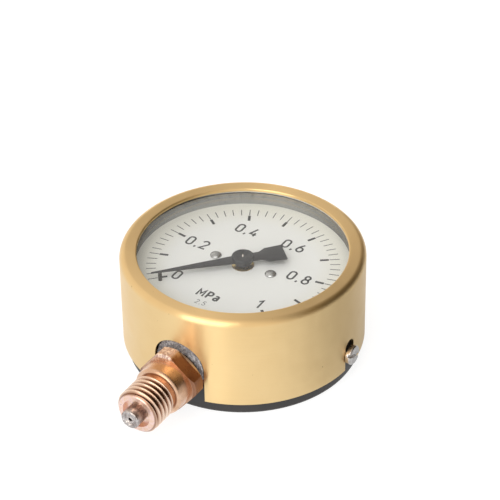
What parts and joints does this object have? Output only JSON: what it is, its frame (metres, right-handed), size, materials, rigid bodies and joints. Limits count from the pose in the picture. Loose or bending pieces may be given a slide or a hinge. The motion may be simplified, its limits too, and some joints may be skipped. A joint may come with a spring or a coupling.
{
  "type": "pressure gauge",
  "caption": "Round Bourdon-tube pressure gauge with a white dial, black pointer, deep gold cover and a radial threaded stem.",
  "frame": {"origin": "centre of the rear case's flat back face", "axes": "+Z out of the dial, +Y towards 12 o'clock, -Y along the stem, +X towards 3 o'clock"},
  "size_m": [0.066, 0.0847, 0.0293],
  "materials": {
    "case_black": "satin",
    "cover_gold": "satin anodised",
    "screw_steel": "satin",
    "seal_pale": "matte",
    "clear_glass": "clear",
    "spacer_grey": "satin",
    "dial_white": "matte",
    "pin_dark": "satin",
    "stem_copper": "turned, tarnished",
    "nipple_steel": "worn",
    "seal_grey": "rough",
    "tube_bronze": "satin",
    "brass_plain": "satin",
    "link_steel": "satin",
    "spring_bronze": "satin",
    "pointer_black": "matte"
  },
  "bodies": {
    "case": {"rear_case": "case_black", "front_cover": "cover_gold", "cover_screws": "screw_steel", "window_seal": "seal_pale", "window_glass": "clear_glass", "spacer_ring": "spacer_grey", "dial_plate": "dial_white", "dial_screws": "screw_steel", "zero_stop_pin": "pin_dark", "socket_stem": "stem_copper", "inlet_nipple": "nipple_steel", "stem_seal": "seal_grey", "socket_screws": "screw_steel", "bourdon_tube": "tube_bronze", "movement_back_plate": "brass_plain", "movement_front_plate": "brass_plain", "centre_bush": "brass_plain", "movement_pillars": "brass_plain", "movement_screws": "screw_steel", "movement_mount_screws": "screw_steel", "hairspring": "spring_bronze", "hairspring_stud": "brass_plain"},
    "pointer": {"pointer": "pointer_black", "pointer_bush": "brass_plain", "pinion_arbor": "screw_steel", "hairspring_collet": "brass_plain"},
    "sector": {"sector_gear": "brass_plain", "sector_arbor": "screw_steel", "sector_link_pin": "screw_steel"},
    "link": {"connecting_link": "link_steel"},
    "tube_tip": {"tube_end_piece": "brass_plain", "tip_link_pin": "screw_steel"}
  },
  "joints": [
    {"name": "pointer_spin", "type": "hinge", "parent": "case", "child": "pointer", "pos_m": [0, 0, 0.0251], "axis": [0, 0, -1], "range_deg": [0, 270], "stiffness_Nm_per_rad": 0.0001, "deforming": ["hairspring"]},
    {"name": "sector_swing", "type": "hinge", "parent": "case", "child": "sector", "pos_m": [0.01061, -0.01061, 0.0181], "axis": [0, 0, 1], "range_deg": [0, 30.01]},
    {"name": "link_swing", "type": "hinge", "parent": "sector", "child": "link", "pos_m": [0.01451, -0.01404, 0.01695], "axis": [0, 0, 1], "range_deg": [-29.2, 0]},
    {"name": "tip_flex", "type": "hinge", "parent": "case", "child": "tube_tip", "pos_m": [-0.00342, 0.00548, 0.0107], "axis": [0, 0, 1], "range_deg": [0, 5.95], "deforming": ["bourdon_tube"]}
  ],
  "couplings": [
    {"joint": "sector_swing", "follows": "pointer_spin", "ratio": 0.11111},
    {"joint": "link_swing", "follows": "pointer_spin", "ratio": -0.10799},
    {"joint": "tip_flex", "follows": "pointer_spin", "ratio": 0.021993}
  ]
}
